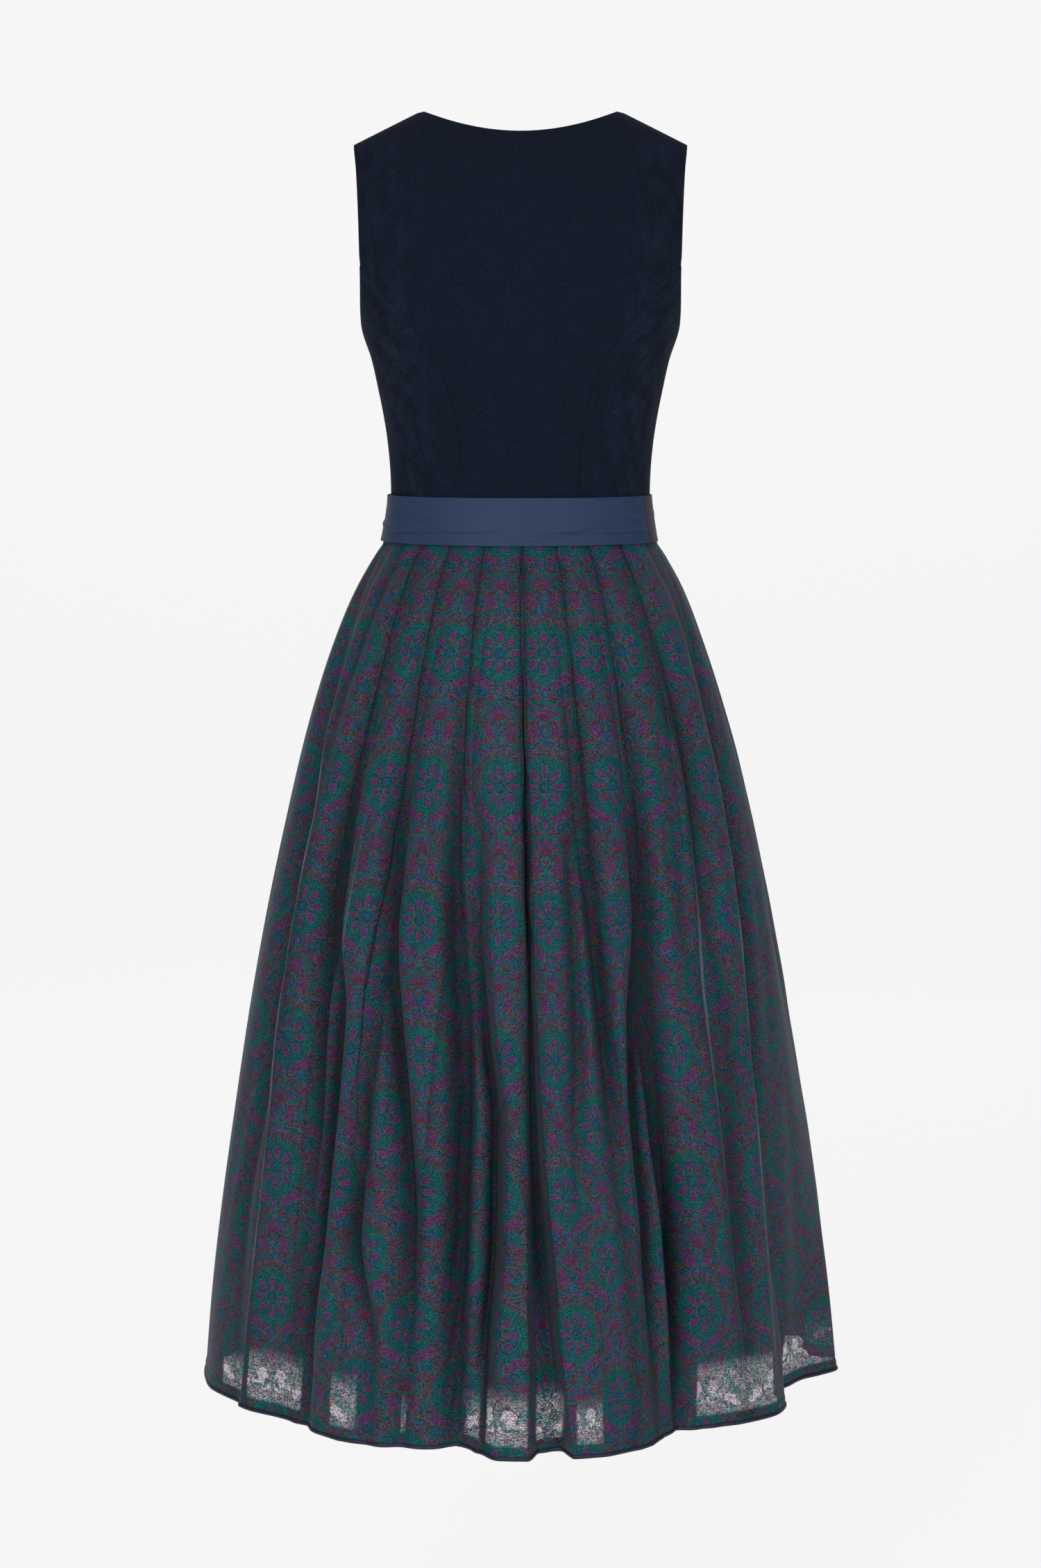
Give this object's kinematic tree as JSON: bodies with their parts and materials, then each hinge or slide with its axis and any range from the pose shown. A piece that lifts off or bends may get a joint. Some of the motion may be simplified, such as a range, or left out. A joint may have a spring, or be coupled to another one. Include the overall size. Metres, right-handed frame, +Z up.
{
  "type": "dirndl",
  "caption": "Sleeveless dirndl held out as if worn: fitted velvet bodice, knife-pleated jacquard skirt with bound hem, satin tie and bow, and a plain apron.",
  "frame": {"origin": "between the wearer's shoulders, level with the middle of the two shoulder seams, where the wearer carries the dress", "axes": "+Z up, the back of the dress faces -Y, the wearer's right side is +X"},
  "size_m": [0.6408, 0.5357, 1.2542],
  "materials": {
    "velvet": "fine matt velvet, very dark navy",
    "jacquard": "woven jacquard with a soft sheen, green rosettes on plum brown",
    "satin": "blue satin, soft gloss",
    "taffeta": "dark brown-black taffeta, low sheen",
    "lining": "smooth dark lining cloth",
    "binding": "dark navy bias binding",
    "button": "polished dark navy resin"
  },
  "bodies": {
    "root": {"bodice_back": "velvet", "bodice_front_left": "velvet", "bodice_front_right": "velvet", "bodice_placket": "velvet", "bodice_side_back_left": "velvet", "bodice_side_back_right": "velvet", "bodice_side_front_left": "velvet", "bodice_side_front_right": "velvet", "skirt_back": "jacquard", "skirt_front": "jacquard", "skirt_lining": "lining", "hem_binding": "binding", "apron": "taffeta", "apron_waistband": "taffeta", "tie_right": "satin", "bow_knot": "satin", "bow_loop_left": "satin", "bow_loop_right": "satin", "bow_end_left": "satin", "bow_end_right": "satin", "button_1": "button", "button_2": "button", "button_3": "button", "button_4": "button", "button_5": "button", "button_6": "button", "button_7": "button"}
  },
  "joints": []
}
